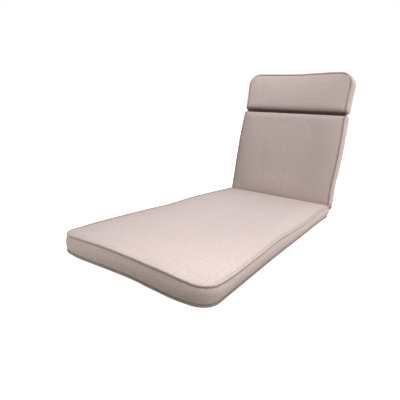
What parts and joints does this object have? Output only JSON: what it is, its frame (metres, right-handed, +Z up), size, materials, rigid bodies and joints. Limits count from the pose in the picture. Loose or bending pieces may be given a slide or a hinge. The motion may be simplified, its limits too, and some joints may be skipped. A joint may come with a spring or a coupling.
{
  "type": "sun lounger cushion",
  "caption": "Long boxed sun lounger cushion with piped seams: flat seat pad, reclined back pad and a head pad above a sewn channel.",
  "frame": {"origin": "centre of the whole cushion's outline, at the height of the seat pad's flat underside", "axes": "+X across the cushion to the right as seen from the foot end, +Y from the foot end towards the back, +Z up"},
  "size_m": [0.6304, 1.4264, 0.7739],
  "materials": {
    "cover_cloth": "matt woven outdoor cloth, heathered taupe",
    "piping_cloth": "matt woven outdoor cloth drawn over a cord, slightly darker"
  },
  "bodies": {
    "root": {"seat_pad": "cover_cloth", "seat_piping_top": "piping_cloth", "seat_piping_bottom": "piping_cloth", "back_pad": "cover_cloth", "back_piping_left": "piping_cloth", "back_piping_right": "piping_cloth", "back_piping_rear": "piping_cloth", "head_pad": "cover_cloth", "head_piping_front": "piping_cloth", "head_piping_rear": "piping_cloth"}
  },
  "joints": []
}
